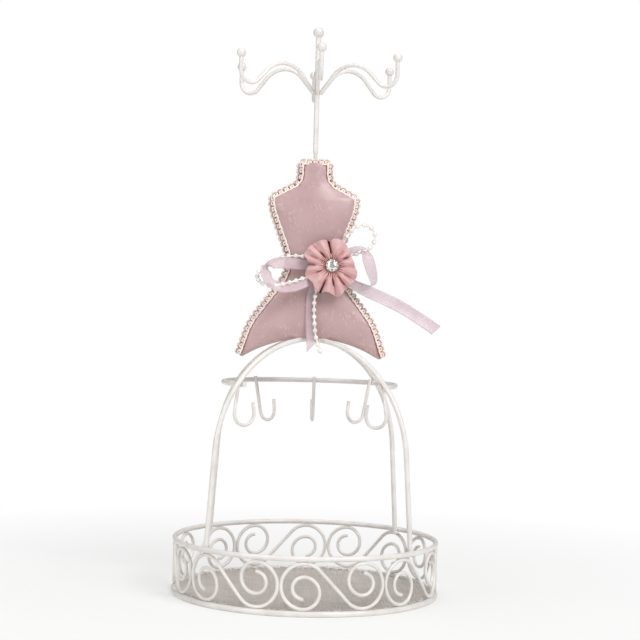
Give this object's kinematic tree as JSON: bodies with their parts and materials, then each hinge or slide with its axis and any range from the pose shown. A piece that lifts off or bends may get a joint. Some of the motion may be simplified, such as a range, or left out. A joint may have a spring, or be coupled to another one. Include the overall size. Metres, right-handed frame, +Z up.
{
  "type": "necklace display rack",
  "caption": "Wire jewellery stand: round scrollwork tray, wire dome with hooks, padded dress-form bust with flower and bow, and a turning crown of curled arms.",
  "frame": {"origin": "on the table under the middle of the tray", "axes": "+Z up along the stem, +X to the right of the bust as seen from the front, front towards -Y"},
  "size_m": [0.16, 0.16, 0.3395],
  "materials": {
    "coated_wire": "satin",
    "coated_mesh": "satin",
    "socket_steel": "brushed",
    "form_board": "matte",
    "bust_satin": "satin",
    "braid": "satin",
    "ribbon_satin": "satin",
    "flower_cloth": "matte",
    "setting_metal": "polished",
    "cut_stone": "polished",
    "clear_beads": "gloss"
  },
  "bodies": {
    "rack": {"bottom_ring": "coated_wire", "top_ring": "coated_wire", "scroll_1": "coated_wire", "scroll_2": "coated_wire", "scroll_3": "coated_wire", "scroll_4": "coated_wire", "scroll_5": "coated_wire", "scroll_6": "coated_wire", "scroll_7": "coated_wire", "scroll_8": "coated_wire", "arch_over": "coated_wire", "arch_under": "coated_wire", "hook_rail": "coated_wire", "hook_1": "coated_wire", "hook_2": "coated_wire", "hook_3": "coated_wire", "hook_4": "coated_wire", "hook_5": "coated_wire", "bust_post": "coated_wire", "floor_mesh": "coated_mesh", "neck_socket": "socket_steel", "bust_core": "form_board", "bust_front_pad": "bust_satin", "bust_back_pad": "bust_satin", "gimp_trim": "braid", "bow_knot": "ribbon_satin", "bow_left_loop": "ribbon_satin", "bow_right_loop": "ribbon_satin", "bow_centre_tail": "ribbon_satin", "bow_right_tail": "ribbon_satin", "flower_petals": "flower_cloth", "flower_backing": "flower_cloth", "stone_setting": "setting_metal", "stone": "cut_stone", "pearl_left_loop": "clear_beads", "pearl_right_loop": "clear_beads", "pearl_tail": "clear_beads"},
    "crown": {"crown_stem": "coated_wire", "crown_arm_1": "coated_wire", "crown_arm_2": "coated_wire", "crown_arm_3": "coated_wire", "crown_arm_4": "coated_wire", "crown_arm_5": "coated_wire", "crown_arm_6": "coated_wire", "arm_ball_1": "coated_wire", "arm_ball_2": "coated_wire", "arm_ball_3": "coated_wire", "arm_ball_4": "coated_wire", "arm_ball_5": "coated_wire", "arm_ball_6": "coated_wire", "stem_ball": "coated_wire"}
  },
  "joints": [
    {"name": "crown_turn", "type": "hinge", "parent": "rack", "child": "crown", "pos_m": [0, 0, 0.259], "axis": [0, 0, 1], "continuous": true}
  ]
}
